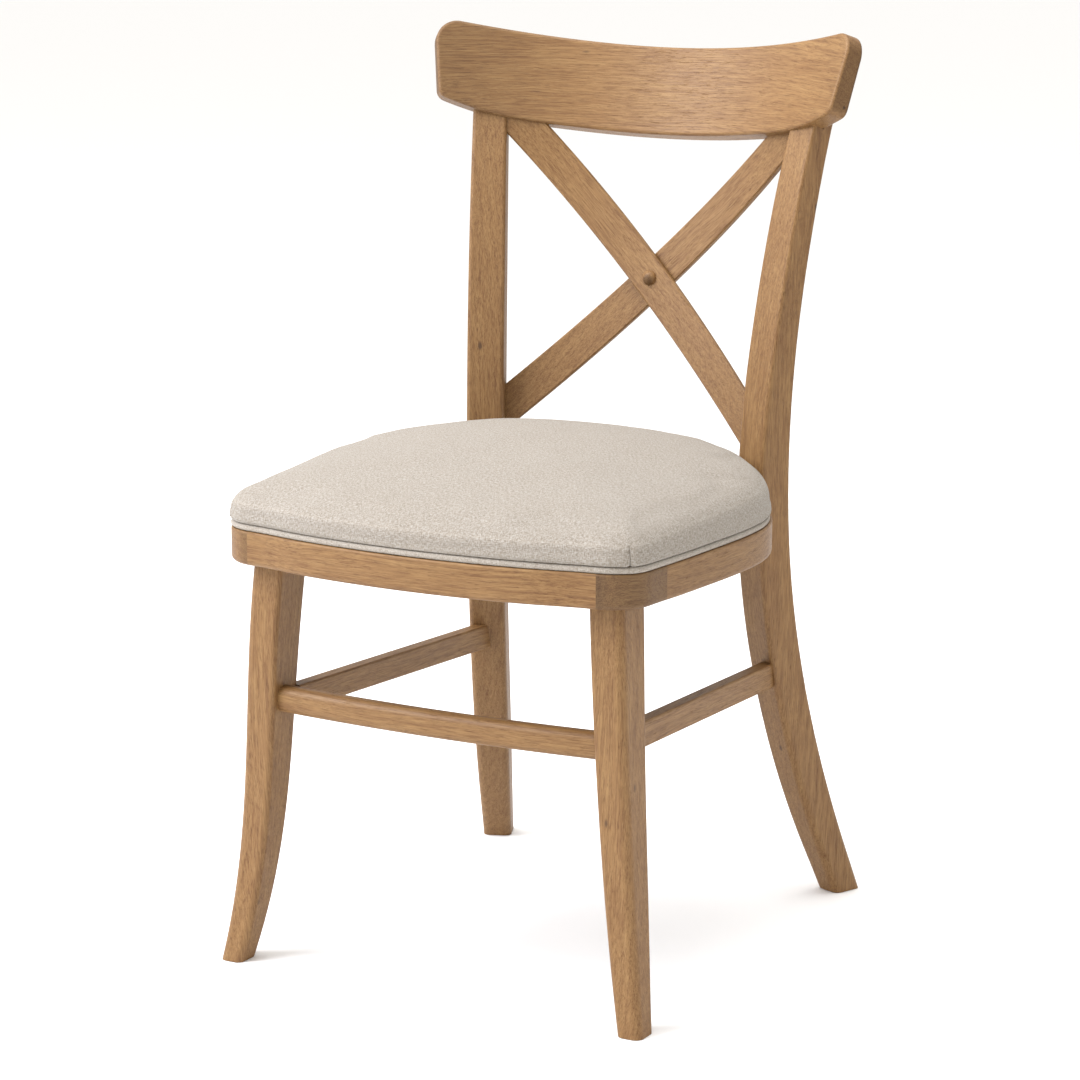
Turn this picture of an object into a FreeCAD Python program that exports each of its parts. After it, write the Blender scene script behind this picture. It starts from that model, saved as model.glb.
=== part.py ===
import os
import math
import FreeCAD, Part
from FreeCAD import Vector

os.makedirs("parts", exist_ok=True)

# Chair with crossed back slats. Millimetres, +Z up, floor at Z 0, front towards -Y,
# origin on the floor under the middle of the chair's bounding box.

# ---------------------------------------------------------------- driving dimensions
Y_SHIFT = -29.087          # moves the layout below so that the box is centred on the origin

# seat ring
RING_Z0 = 399.0            # underside
RING_H = 33.0
RING_OUTER = [(0, -251), (70, -247.7), (130, -239.8), (175, -230.4), (196.5, -226.4),
              (211.9, -216.3), (220.9, -202.6), (224.4, -180), (227.9, -150), (232.2, -100),
              (235.5, -50), (236, -10), (232.5, 28), (222.2, 62), (204, 97), (184, 129),
              (166, 153), (148, 170), (118, 182), (60, 190.5), (0, 192)]
RING_INNER = [(0, -191), (75, -188), (130, -181.5), (150, -177), (162, -166), (168, -148),
              (172, -100), (175, -50), (175.5, -5), (172, 35), (160, 72), (138, 103),
              (108, 122), (60, 131), (0, 133)]
RING_EDGE_LOW = 5.0
RING_EDGE_TOP = 2.0
JOINT_FRONT = ((186.0, -228.0), (150.0, -170.0))    # joint plane of front rail and corner block
JOINT_SIDE_F = ((226.0, -166.0), (166.0, -140.0))   # joint plane of corner block and side rail
JOINT_SIDE_R = ((231.0, 40.0), (170.0, 26.0))       # joint plane of side rail and rear block
JOINT_REAR_X = 95.0                                 # joint plane of rear block and rear rail

# front legs: height, centre X, centre Y, width (X), depth (Y), corner radius
LEG = [(0.0, 218.9, -210.3, 25.0, 29.5, 7.0),
       (60.0, 208.2, -199.4, 28.0, 33.8, 6.6),
       (120.0, 200.6, -192.9, 30.2, 37.4, 6.2),
       (200.0, 193.9, -189.1, 32.0, 41.1, 5.6),
       (300.0, 188.2, -186.4, 33.6, 44.8, 5.0),
       (399.0, 181.9, -179.9, 34.2, 47.0, 4.5)]
LEG_OUTER_R = 8.5          # the outer front corner is rounder
LEG_TENON_R = 13.0
LEG_TENON_H = 22.0

# rear posts: the post is bent in its own upright plane, which is toed in
POST_TOE = 23.3            # degrees, turn of the post about Z
POST_BEND = 24.0           # degrees, turn of the plane it is bent in
POST_X = 160.5
POST_Y = 178.3
# height, rake offset, width across the plane, depth in the plane, corner radius
POST = [(0.0, 108.0, 30.5, 35.0, 8.0),
        (60.0, 81.3, 33.5, 37.2, 7.2),
        (110.0, 60.9, 35.6, 38.6, 6.6),
        (230.0, 23.0, 37.8, 40.0, 5.6),
        (360.0, 0.0, 38.2, 39.5, 4.6),
        (480.0, -2.7, 38.2, 36.5, 4.0),
        (600.0, 9.9, 38.2, 30.5, 3.6),
        (700.0, 28.6, 37.0, 28.3, 3.4),
        (770.0, 45.6, 35.6, 27.0, 3.4),
        (830.0, 63.6, 34.6, 26.0, 3.4)]
POST_TENON_W = 20.0
POST_TENON_T = 10.0
POST_TENON_TOP = 822.0
POST_RISE = 5.0            # top of the post behind the crest, above the crest's lower front edge

# crest rail: plan curve of the front face at CREST_ZREF and its lean
CREST_ZREF = 808.0
CREST_YM = 271.7
CREST_C2 = 19.49           # mm per (100 mm)^2
CREST_C4 = -0.145
CREST_LEAN = math.radians(17.7)
CREST_T_MID = 23.5
CREST_T_END = 20.0
CREST_T_TAPER = -0.035     # change of thickness per mm of height
CREST_TOP0, CREST_TOPK = 861.3, 6.3
CREST_BOT0, CREST_BOTK = 774.3, 5.68
CREST_BOT_END = 0.0024     # extra rise of the underside outside x 150
CREST_X_END = 218.2
CREST_CORNER_TOP = 22.0
CREST_CORNER_LOW = 11.0
CREST_EDGE_R = 3.0

# crossed slats: front face of the front slat is on a bent surface
SLAT_ZR = 650.0
SLAT_Y = (236.8, 20.2, -1.257)
SLAT_C = (14.04, 1.319)
SLAT_Z = (630.7, -100.04, 2.31, -0.214)
SLAT_W = 37.0
SLAT_T = 7.0
SLAT_TOP_Z = 793.0         # top of the slat's housing in the crest rail
SLAT_HOUSING = 11.0        # depth of the housing in the post
SLAT_HOUSING_TOP = 3.0     # the same at the upper end
BUTTON_R = 7.8
BUTTON_H = 6.0

# stretchers
FS_Z = 263.2
FS_H = 25.8
FS_T = 21.0
FS_Y_END = -190.0
FS_BOW = 9.5
SS_FRONT = (175.0, -175.0, 259.8)
SS_REAR = (166.0, 190.0, 246.3)
SS_H = 25.3
SS_T = 15.5
SS_START_Y = -170.8        # the shoulder wraps the rounded inner corner of the leg

# seat pad
PAD_OUTER = [(0, -250.5), (70, -247.2), (130, -239.3), (175, -229.9), (196.5, -225.9),
             (212.5, -216.5), (221.8, -203), (225.3, -180), (228.5, -150), (232.3, -100),
             (235.1, -50), (235.5, -10), (232, 28), (221.5, 60), (205, 88), (184, 114),
             (158, 141), (133, 156.5), (100, 167.5), (50, 174.5), (0, 176)]
WELT_D = 6.5
BOARD_T = 12.0
BOARD_INSET = 7.0
COVER_T = 1.2
PAD_MID_Y = -30.0
# crown of the pad: height above the ring's top, share of the outline
CROWN = [(7.2, 0.985), (13.0, 0.9985), (20.0, 1.0), (28.0, 0.992), (35.0, 0.965), (41.0, 0.925),
         (47.5, 0.855), (54.0, 0.755), (59.5, 0.61), (62.4, 0.43), (63.4, 0.24)]

# ---------------------------------------------------------------- helpers
RING_Z1 = RING_Z0 + RING_H


def shifted(shape):
    s = shape.copy()
    s.translate(Vector(0, Y_SHIFT, 0))
    return s


def export(name, shape):
    shifted(shape).exportStep(os.path.join("parts", name + ".step"))


def mirror_x(shape):
    return shape.mirror(Vector(0, 0, 0), Vector(1, 0, 0))


def solids_only(shape, keep=None):
    sol = sorted(shape.Solids, key=lambda s: -s.Volume)
    if keep is not None:
        sol = sol[:keep]
    return sol[0] if len(sol) == 1 else Part.makeCompound(sol)


def cut_clean(shape, *tools):
    for t in tools:
        shape = shape.cut(t)
    return solids_only(shape, 1)


def closed_curve(pts):
    c = Part.BSplineCurve()
    c.interpolate(Points=pts, PeriodicFlag=True)
    return c


def both_sides(half):
    pts = [Vector(x, y, 0) for x, y in half]
    pts += [Vector(-x, y, 0) for x, y in half[-2:0:-1]]
    return pts


def plan_wire(half, z, inset=0.0, share=1.0, mid_y=0.0):
    """Closed outline at height z, moved inwards by inset and scaled about the middle."""
    base = closed_curve(both_sides(half))
    if inset:
        n = 48
        a, b = base.FirstParameter, base.LastParameter
        pts = []
        for i in range(n):
            u = a + (b - a) * i / n
            p = base.value(u)
            t = base.tangent(u)[0]
            pts.append(Vector(p.x - t.y * inset, p.y + t.x * inset, 0))
    else:
        pts = both_sides(half)
    pts = [Vector(p.x * share, mid_y + (p.y - mid_y) * share, z) for p in pts]
    return Part.Wire(closed_curve(pts).toShape())


def round_rect(cx, cy, z, w, d, r, ang, r_outer=None):
    """Closed rounded rectangle in a level plane, turned by ang about Z. r_outer is the corner at +X, -Y."""
    ca, sa = math.cos(ang), math.sin(ang)

    def P(x, y):
        return Vector(cx + ca * x - sa * y, cy + sa * x + ca * y, z)
    hw, hd = w / 2.0, d / 2.0
    e = []
    corners = [(1, 1), (-1, 1), (-1, -1), (1, -1)]
    radii = [r, r, r, r if r_outer is None else r_outer]
    for i, (sx, sy) in enumerate(corners):
        nx, ny = corners[(i + 1) % 4]
        r, rn = radii[i], radii[(i + 1) % 4]
        k = r * (1 - math.sqrt(0.5))
        if sx == sy:
            a, b = P(sx * hw, sy * (hd - r)), P(sx * (hw - r), sy * hd)
            c, dd = P(sx * (hw - r), sy * hd), P(nx * (hw - rn), ny * hd)
        else:
            a, b = P(sx * (hw - r), sy * hd), P(sx * hw, sy * (hd - r))
            c, dd = P(sx * hw, sy * (hd - r)), P(nx * hw, ny * (hd - rn))
        m = P(sx * (hw - k), sy * (hd - k))
        e.append(Part.Arc(a, m, b).toShape())
        e.append(Part.LineSegment(c, dd).toShape())
    return Part.Wire(e)


def box_between(p, q, w, h):
    """Straight bar from p to q, w wide across and h high."""
    d = q.sub(p)
    L = d.Length
    u = Vector(d).normalize()
    side = Vector(0, 0, 1).cross(u).normalize()
    up = u.cross(side)
    c = [p + side * (sx * w / 2.0) + up * (sz * h / 2.0) for sx, sz in ((-1, -1), (1, -1), (1, 1), (-1, 1))]
    return Part.Face(Part.makePolygon(c + [c[0]])).extrude(u * L)


def cyl(p, d, r, length):
    return Part.makeCylinder(r, length, p, d)


def half_space(p0, p1, side, reach=400.0, z0=0.0, z1=1000.0):
    """Tall block on one side of the upright plane through two plan points."""
    a, b = Vector(p0[0], p0[1], z0), Vector(p1[0], p1[1], z0)
    t = b.sub(a).normalize()
    n = Vector(-t.y, t.x, 0) * side
    m = (a + b) * 0.5
    c = [m - t * reach, m + t * reach, m + t * reach + n * reach, m - t * reach + n * reach]
    return Part.Face(Part.makePolygon(c + [c[0]])).extrude(Vector(0, 0, z1 - z0))


# ---------------------------------------------------------------- rear posts
def post_frame(z):
    """Centre of the post at height z, by interpolation of the table's curve."""
    zs = [p[0] for p in POST]
    gs = [p[1] for p in POST]
    for i in range(len(zs) - 1):
        if z <= zs[i + 1] or i == len(zs) - 2:
            break
    i0 = max(0, min(len(zs) - 4, i - 1))
    g = 0.0
    for a in range(i0, i0 + 4):
        l = 1.0
        for b in range(i0, i0 + 4):
            if a != b:
                l *= (z - zs[b]) / (zs[a] - zs[b])
        g += gs[a] * l
    phi = math.radians(POST_BEND)
    return Vector(POST_X + math.sin(phi) * g, POST_Y + math.cos(phi) * g, z)


TH = math.radians(POST_TOE)
POST_N = Vector(math.cos(TH), -math.sin(TH), 0)      # across the right post, outwards
POST_E = Vector(math.sin(TH), math.cos(TH), 0)       # through the right post, backwards

sections = []
for z, g, w, d, r in POST:
    c = post_frame(z)
    sections.append(round_rect(c.x, c.y, z, w, d, r, -TH))
post_blank = Part.makeLoft(sections, True, False)

# ---------------------------------------------------------------- crest rail


def crest_point(x, z, back, extra=0.0):
    X = x / 100.0
    y = CREST_YM - CREST_C2 * X ** 2 - CREST_C4 * X ** 4
    dy = -(2 * CREST_C2 * X + 4 * CREST_C4 * X ** 3) / 100.0
    L = math.sqrt(1 + dy * dy)
    nx, ny = -dy / L, 1 / L
    off = math.tan(CREST_LEAN) * (z - CREST_ZREF)
    if back:
        off += (crest_t(x) + CREST_T_TAPER * (z - 820.0) + extra) / math.cos(CREST_LEAN)
    return Vector(x + nx * off, y + ny * off, z)


def crest_t(x):
    return CREST_T_MID + (CREST_T_END - CREST_T_MID) * (abs(x) / 225.0) ** 2


def crest_section(x, extra=0.0, rise=None):
    xt = x
    zb = CREST_BOT0 + CREST_BOTK * (x / 100.0) ** 2 + CREST_BOT_END * max(0.0, abs(x) - 150.0) ** 2
    zt = CREST_TOP0 + CREST_TOPK * (xt / 100.0) ** 2
    drop = math.sin(CREST_LEAN) * (crest_t(x) + extra)
    if rise is not None:
        zb, drop = zb + rise, 0.0
    pts = [crest_point(x, zb, False), crest_point(xt, zt, False),
           crest_point(xt, zt - drop, True, extra), crest_point(x, zb - drop, True, extra)]
    return Part.makePolygon(pts + [pts[0]])


CREST_XS = [-CREST_X_END, -202, -185, -167, -150, -110, -70, -35, 0, 35, 70, 110, 150, 167, 185, 202, CREST_X_END]
crest_blank = Part.makeLoft([crest_section(x) for x in CREST_XS], True, False)


def short_end_edges(shape, top):
    """The edges through the board's thickness at its four end corners."""
    out = []
    for e in shape.Edges:
        a, b = e.Vertexes[0].Point, e.Vertexes[-1].Point
        if min(abs(a.x), abs(b.x)) > 195 and e.Length < 40 and (a.z > 845) == top:
            out.append(e)
    return out


crest = crest_blank.makeFillet(CREST_CORNER_TOP, short_end_edges(crest_blank, True))
crest = crest.makeFillet(CREST_CORNER_LOW, short_end_edges(crest, False))
# the arris runs round the front face and round the back face
crest_area = sorted(crest.Faces, key=lambda f: -f.Area)[:2]
rim = []
for f in crest_area:
    rim += f.OuterWire.Edges
try:
    crest_eased = crest.makeFillet(CREST_EDGE_R, rim)
    if crest_eased.isValid() and len(crest_eased.Solids) == 1:
        crest = crest_eased
    else:
        print("crest arris left sharp")
except Exception as err:
    print("crest arris failed", err)

# the posts stop under the crest, and their rear part runs a little way up its back
crest_shadow = Part.makeLoft([crest_section(x, 60.0, POST_RISE) for x in (110, 130, 150, 167, 185, 202, 220)], True, False)

# ---------------------------------------------------------------- crossed slats


def slat_y(x, z):
    k = (z - SLAT_ZR) / 100.0
    return SLAT_Y[0] + SLAT_Y[1] * k + SLAT_Y[2] * k * k - (SLAT_C[0] + SLAT_C[1] * k) * (x / 100.0) ** 2


def slat_mid(x):
    X = x / 100.0
    z = SLAT_Z[0] + SLAT_Z[1] * X + SLAT_Z[2] * X ** 2 + SLAT_Z[3] * X ** 3
    return Vector(x, slat_y(x, z), z)


def slat_frame(x):
    p = slat_mid(x)
    t = slat_mid(x + 0.5).sub(slat_mid(x - 0.5)).normalize()
    fx = slat_y(x + 0.5, p.z) - slat_y(x - 0.5, p.z)
    fz = slat_y(x, p.z + 0.5) - slat_y(x, p.z - 0.5)
    n = Vector(fx, -1, fz).normalize()
    w = t.cross(n).normalize()
    if w.z < 0:
        w = w * -1
    n = w.cross(t)
    if n.y > 0:
        n = n * -1
    return p, t, n, w


def slat_section(x, back_off):
    p, t, n, w = slat_frame(x)
    p = p - n * back_off
    r = 1.5
    hw = SLAT_W / 2.0
    o = [(-hw + r, 0), (hw - r, 0), (hw, -r), (hw, -SLAT_T + r), (hw - r, -SLAT_T), (-hw + r, -SLAT_T),
         (-hw, -SLAT_T + r), (-hw, -r)]
    pts = [p + w * a + n * b for a, b in o]
    return Part.makePolygon(pts + [pts[0]])


SLAT_XS = [-186, -160, -130, -95, -60, -25, 10, 45, 80, 110, 140, 168]
slat_front = Part.makeLoft([slat_section(x, 0.0) for x in SLAT_XS], True, False)
slat_back_m = Part.makeLoft([slat_section(x, SLAT_T) for x in SLAT_XS], True, False)
slat_back = mirror_x(slat_back_m)

below_housing = Part.makeBox(600, 400, SLAT_TOP_Z, Vector(-300, 0, 0))
slat_front = slat_front.common(below_housing)
slat_back = slat_back.common(below_housing)

# the lower end stops inside the post
c480 = post_frame(495.0)
stop = c480 - POST_N * (38.2 / 2.0 - SLAT_HOUSING)
stop_r = half_space((stop.x, stop.y), (stop.x + POST_E.x, stop.y + POST_E.y), -1)
if stop_r.BoundBox.XMax < 300:
    stop_r = half_space((stop.x, stop.y), (stop.x + POST_E.x, stop.y + POST_E.y), 1)
stop_l = mirror_x(stop_r)
# the upper end stops just inside the other post
c780 = post_frame(780.0)
stop = c780 - POST_N * (35.6 / 2.0 - SLAT_HOUSING_TOP)
top_r = half_space((stop.x, stop.y), (stop.x + POST_E.x, stop.y + POST_E.y), -1, z0=640.0)
if top_r.BoundBox.XMax < 300:
    top_r = half_space((stop.x, stop.y), (stop.x + POST_E.x, stop.y + POST_E.y), 1, z0=640.0)
top_l = mirror_x(top_r)
slat_front = cut_clean(slat_front, stop_r, top_l)
slat_back = cut_clean(slat_back, stop_l, top_r)

# ---------------------------------------------------------------- seat ring
outer_solid = Part.Face(plan_wire(RING_OUTER, RING_Z0)).extrude(Vector(0, 0, RING_H))
low_edge = [e for e in outer_solid.Edges if e.BoundBox.ZMax < RING_Z0 + 0.1]
top_edge = [e for e in outer_solid.Edges if e.BoundBox.ZMin > RING_Z1 - 0.1]
outer_solid = outer_solid.makeFillet(RING_EDGE_LOW, low_edge)
top_edge = [e for e in outer_solid.Edges if e.BoundBox.ZMin > RING_Z1 - 0.1]
outer_solid = outer_solid.makeFillet(RING_EDGE_TOP, top_edge)
inner_solid = Part.Face(plan_wire(RING_INNER, RING_Z0 - 5)).extrude(Vector(0, 0, RING_H + 10))
ring = outer_solid.cut(inner_solid)

z_lo, z_hi = RING_Z0 - 20, RING_Z1 + 20
side_front = half_space(JOINT_FRONT[0], JOINT_FRONT[1], 1, z0=z_lo, z1=z_hi)     # towards the middle
if side_front.isInside(Vector(0, -200, 415), 0.1, True) is False:
    side_front = half_space(JOINT_FRONT[0], JOINT_FRONT[1], -1, z0=z_lo, z1=z_hi)
mid_front = side_front.common(mirror_x(side_front)).common(
    Part.makeBox(400, 120, 200, Vector(-200, -270, z_lo)))
front_rail = solids_only(ring.common(mid_front), 1)

behind_f = half_space(JOINT_SIDE_F[0], JOINT_SIDE_F[1], 1, z0=z_lo, z1=z_hi)
if behind_f.isInside(Vector(210, 0, 415), 0.1, True) is False:
    behind_f = half_space(JOINT_SIDE_F[0], JOINT_SIDE_F[1], -1, z0=z_lo, z1=z_hi)
ahead_r = half_space(JOINT_SIDE_R[0], JOINT_SIDE_R[1], 1, z0=z_lo, z1=z_hi)
if ahead_r.isInside(Vector(210, 0, 415), 0.1, True) is False:
    ahead_r = half_space(JOINT_SIDE_R[0], JOINT_SIDE_R[1], -1, z0=z_lo, z1=z_hi)
right_box = Part.makeBox(300, 600, 200, Vector(60, -300, z_lo))
side_rail_r = solids_only(ring.common(behind_f).common(ahead_r).common(right_box), 1)

corner_f = ring.common(Part.makeBox(300, 260, 200, Vector(100, -300, z_lo)))
corner_f = solids_only(corner_f.cut(side_front).cut(behind_f), 1)

behind_r = half_space(JOINT_SIDE_R[0], JOINT_SIDE_R[1], 1, z0=z_lo, z1=z_hi)
if behind_r.isInside(Vector(200, 100, 415), 0.1, True) is False:
    behind_r = half_space(JOINT_SIDE_R[0], JOINT_SIDE_R[1], -1, z0=z_lo, z1=z_hi)
corner_r = solids_only(ring.common(behind_r).common(
    Part.makeBox(300, 300, 200, Vector(JOINT_REAR_X, -20, z_lo))), 1)
rear_rail = solids_only(ring.common(Part.makeBox(2 * JOINT_REAR_X, 200, 200, Vector(-JOINT_REAR_X, 60, z_lo))), 1)

# ---------------------------------------------------------------- front legs
leg_secs = [round_rect(x, y, z, w, d, r, 0.0, LEG_OUTER_R) for z, x, y, w, d, r in LEG]
front_leg_r = Part.makeLoft(leg_secs, True, False)
lx, ly = LEG[-1][1], LEG[-1][2]
leg_tenon = cyl(Vector(lx, ly, RING_Z0 - 4), Vector(0, 0, 1), LEG_TENON_R, LEG_TENON_H + 4)
front_leg_r = front_leg_r.fuse(leg_tenon).removeSplitter()
corner_f = cut_clean(corner_f, leg_tenon)

# ---------------------------------------------------------------- stretchers
fs_secs = []
for x in (-188, -150, -100, -50, 0, 50, 100, 150, 188):
    y = FS_Y_END - FS_BOW * (1 - (x / 175.0) ** 2)
    hw, hh, r = FS_T / 2.0, FS_H / 2.0, 8.5
    e = []

    def Q(a, b):
        return Vector(x, y + a, FS_Z + b)
    k = r * (1 - math.sqrt(0.5))
    cs = [(1, 1), (-1, 1), (-1, -1), (1, -1)]
    for i, (sa_, sb_) in enumerate(cs):
        na, nb = cs[(i + 1) % 4]
        if sa_ == sb_:
            a, b = Q(sa_ * hw, sb_ * (hh - r)), Q(sa_ * (hw - r), sb_ * hh)
            c, d2 = b, Q(na * (hw - r), nb * hh)
        else:
            a, b = Q(sa_ * (hw - r), sb_ * hh), Q(sa_ * hw, sb_ * (hh - r))
            c, d2 = b, Q(na * hw, nb * (hh - r))
        e.append(Part.Arc(a, Q(sa_ * (hw - k), sb_ * (hh - k)), b).toShape())
        e.append(Part.LineSegment(c, d2).toShape())
    fs_secs.append(Part.Wire(e))
fs_blank = Part.makeLoft(fs_secs, True, False)
front_leg_l = mirror_x(front_leg_r)
fs_body = cut_clean(fs_blank.common(Part.makeBox(372, 100, 100, Vector(-186, -240, 210))), front_leg_r, front_leg_l)
fs_tenon = Part.makeBox(2 * 190.0, 10.0, 18.0, Vector(-190.0, FS_Y_END - 5.5, FS_Z - 9.0))
front_stretcher = fs_body.fuse(fs_tenon).removeSplitter()

pa = Vector(*SS_FRONT)
pb = Vector(*SS_REAR)
d_ab = pb.sub(pa).normalize()
ss_core = box_between(pa - d_ab * 14, pb + d_ab * 4, SS_T, SS_H)
ss_core = ss_core.makeFillet(2.4, [e for e in ss_core.Edges if e.Length > 200])
front_leg_plain = Part.makeLoft(leg_secs, True, False)
ss_core = ss_core.common(Part.makeBox(300, 500, 100, Vector(50, SS_START_Y, 200)))
ss_body = cut_clean(ss_core, front_leg_plain, post_blank)
# tenons, set outwards at the front so that they stay inside the leg
ss_out = Vector(4.7, 0, 0)
ss_tenon_f = box_between(pa + ss_out - d_ab * 4.5, pa + ss_out + d_ab * 14.0, 7.0, 17.0)
ss_tenon_r = box_between(pb - d_ab * 24.0, pb + d_ab * 2, 8.0, 17.0)
ss_tenon = ss_tenon_f.fuse(ss_tenon_r)
side_stretcher_r = ss_body.fuse(ss_tenon).removeSplitter()
side_stretcher_l = mirror_x(side_stretcher_r)

front_leg_r = cut_clean(front_leg_r, fs_tenon, ss_tenon)
front_leg_l = mirror_x(front_leg_r)

# ---------------------------------------------------------------- fixings in the ring
dowels = []


def dowel_pair(mid, along, r=4.0, half=15.0):
    out = []
    for z in (RING_Z0 + 10.0, RING_Z1 - 9.0):
        p = Vector(mid[0], mid[1], z) - along * half
        out.append(cyl(p, along, r, 2 * half))
    return out


def plane_normal(j):
    t = Vector(j[1][0] - j[0][0], j[1][1] - j[0][1], 0).normalize()
    return Vector(-t.y, t.x, 0)


d_front = dowel_pair((178.5, -214.0), plane_normal(JOINT_FRONT))
d_side_f = dowel_pair((211.0, -159.5), plane_normal(JOINT_SIDE_F))
d_side_r = dowel_pair((202.0, 33.4), plane_normal(JOINT_SIDE_R))
d_rear = dowel_pair((JOINT_REAR_X, 155.0), Vector(1, 0, 0))
dowels_r = d_front + d_side_f + d_side_r + d_rear
dowels_l = [mirror_x(s) for s in dowels_r]
ring_dowels = Part.makeCompound(dowels_r + dowels_l)

# bolts from the inside of the rear block into the post
c415 = post_frame(415.0)
bolt_steel = []
bolt_space = []
for z in (RING_Z0 + 9.0, RING_Z1 - 9.0):
    tip = Vector(c415.x, c415.y, z) + POST_E * 6.0
    start = tip - POST_E * 68.0
    shank = cyl(start, POST_E, 3.0, 68.0)
    head = cyl(start - POST_E * 4.0, POST_E, 5.5, 4.0)
    bolt_steel.append(shank.fuse(head).removeSplitter())
    bolt_space.append(cyl(start - POST_E * 40.0, POST_E, 6.5, 40.0))
post_bolts = Part.makeCompound(bolt_steel + [mirror_x(s) for s in bolt_steel])

# seat screws from below into the board
screw_at = [(206.0, -70.0), (196.0, 62.0), (60.0, -216.0)]
seat_screws = []
screw_space = []
for x, y in screw_at:
    base = Vector(x, y, RING_Z0 + 12.0)
    s = cyl(base, Vector(0, 0, 1), 2.25, 30.0).fuse(cyl(base, Vector(0, 0, 1), 4.5, 3.0)).removeSplitter()
    seat_screws.append(s)
    screw_space.append(cyl(Vector(x, y, RING_Z0 - 1), Vector(0, 0, 1), 5.0, 13.0))
seat_screws += [mirror_x(s) for s in seat_screws]
screw_space += [mirror_x(s) for s in screw_space]

# ---------------------------------------------------------------- cut the joints
corner_r = cut_clean(corner_r, post_blank, *bolt_steel)
corner_r = cut_clean(corner_r, *bolt_space)

corner_f = cut_clean(corner_f, *(d_front + d_side_f))
side_rail_r = cut_clean(side_rail_r, *(d_side_f + d_side_r))
corner_r = cut_clean(corner_r, *(d_side_r + d_rear))
front_rail = cut_clean(front_rail, *(d_front + [mirror_x(s) for s in d_front]))
rear_rail = cut_clean(rear_rail, *(d_rear + [mirror_x(s) for s in d_rear]))


def cut_screws(shape):
    return cut_clean(shape, *(seat_screws + screw_space))


front_rail = cut_screws(front_rail)
side_rail_r = cut_screws(side_rail_r)
corner_r = cut_screws(corner_r)

# posts: end under the crest, then a tenon into it
tsec = []
for z in (768.0, 795.0, POST_TENON_TOP):
    c = post_frame(z) - POST_E * 2.5
    pts = [c + POST_N * (sx * POST_TENON_W / 2.0) + POST_E * (sy * POST_TENON_T / 2.0)
           for sx, sy in ((-1, -1), (1, -1), (1, 1), (-1, 1))]
    tsec.append(Part.makePolygon(pts + [pts[0]]))
post_tenon = Part.makeLoft(tsec, True, False)
post_body = cut_clean(post_blank.cut(crest_shadow).cut(crest_blank))
keep_low = Part.makeBox(500, 500, 812, Vector(0, 0, 0))
post_body = solids_only(post_body.common(keep_low), 1)
rear_post_r = post_body.fuse(post_tenon).removeSplitter()
rear_post_r = cut_clean(rear_post_r, ss_tenon, *bolt_steel)
rear_post_l = mirror_x(rear_post_r)

# slats are housed in the posts and in the crest rail
rear_post_r = cut_clean(rear_post_r, slat_front, slat_back)
rear_post_l = cut_clean(rear_post_l, slat_front, slat_back)
crest = cut_clean(crest, post_tenon, mirror_x(post_tenon), slat_front, slat_back)

# fixing at the crossing and the button over it
p0, t0, n0, w0 = slat_frame(0.0)
screw = cyl(p0 - n0 * 12.0, n0, 2.0, 9.5).fuse(cyl(p0 - n0 * 2.6, n0, 3.8, 2.2)).removeSplitter()
hole = cyl(p0 - n0 * 12.0, n0, 2.0, 12.0).fuse(cyl(p0 - n0 * 2.6, n0, 3.8, 6.0))
slat_front = cut_clean(slat_front, hole)
slat_back = cut_clean(slat_back, hole)
R_dome = (BUTTON_R ** 2 + BUTTON_H ** 2) / (2 * BUTTON_H)
dome = Part.makeSphere(R_dome, p0 + n0 * (BUTTON_H - R_dome))
slab = cyl(p0 + n0 * 0.0, n0, BUTTON_R, BUTTON_H + 2)
button = dome.common(slab)

# ---------------------------------------------------------------- seat pad
board = Part.Face(plan_wire(PAD_OUTER, RING_Z1, inset=BOARD_INSET)).extrude(Vector(0, 0, BOARD_T))
board = cut_clean(board, *seat_screws)


def crown(inset, z_first, drop):
    ws = []
    for i, (h, s) in enumerate(CROWN):
        z = z_first if i == 0 else RING_Z1 + h - (drop if i > 2 else 0.0)
        ws.append(plan_wire(PAD_OUTER, z, inset=inset + 0.001, share=s, mid_y=PAD_MID_Y))
    return ws


def closed_solid(faces):
    shell = Part.makeShell(faces)
    shell.sewShape()
    solid = Part.makeSolid(shell)
    if solid.Volume < 0:
        solid.reverse()
    return solid


PAD_Z0 = RING_Z1 + CROWN[0][0]
skin_w = crown(0.0, PAD_Z0, 0.0)
core_w = crown(COVER_T, PAD_Z0, COVER_T)
skin_f = Part.makeLoft(skin_w, False, True).Faces
core_f = Part.makeLoft(core_w, False, True).Faces
hem = Part.Face(skin_w[0]).cut(Part.Face(core_w[0])).Faces
cover = closed_solid(skin_f + core_f + [Part.Face(skin_w[-1]), Part.Face(core_w[-1])] + hem)
foam = closed_solid(core_f + [Part.Face(core_w[0]), Part.Face(core_w[-1])])
print("cover", cover.Volume, cover.isValid(), "foam", foam.Volume, foam.isValid())
foam = cut_clean(foam, board)
print("foam less board", foam.Volume, foam.isValid())

welt_path = plan_wire(PAD_OUTER, RING_Z1 + WELT_D / 2.0 + 0.05, inset=WELT_D / 2.0 + 0.4)
e0 = welt_path.Edges[0]
wp = e0.valueAt(e0.FirstParameter)
wt = e0.tangentAt(e0.FirstParameter)
prof = Part.Wire(Part.Circle(wp, wt, WELT_D / 2.0).toShape())
welt = welt_path.makePipeShell([prof], True, False)
if not welt.Solids:
    welt = Part.makeSolid(Part.Shell(welt.Faces))

dust = Part.Face(plan_wire(RING_INNER, RING_Z1 - 0.9, inset=0.3)).extrude(Vector(0, 0, 0.9))

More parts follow.
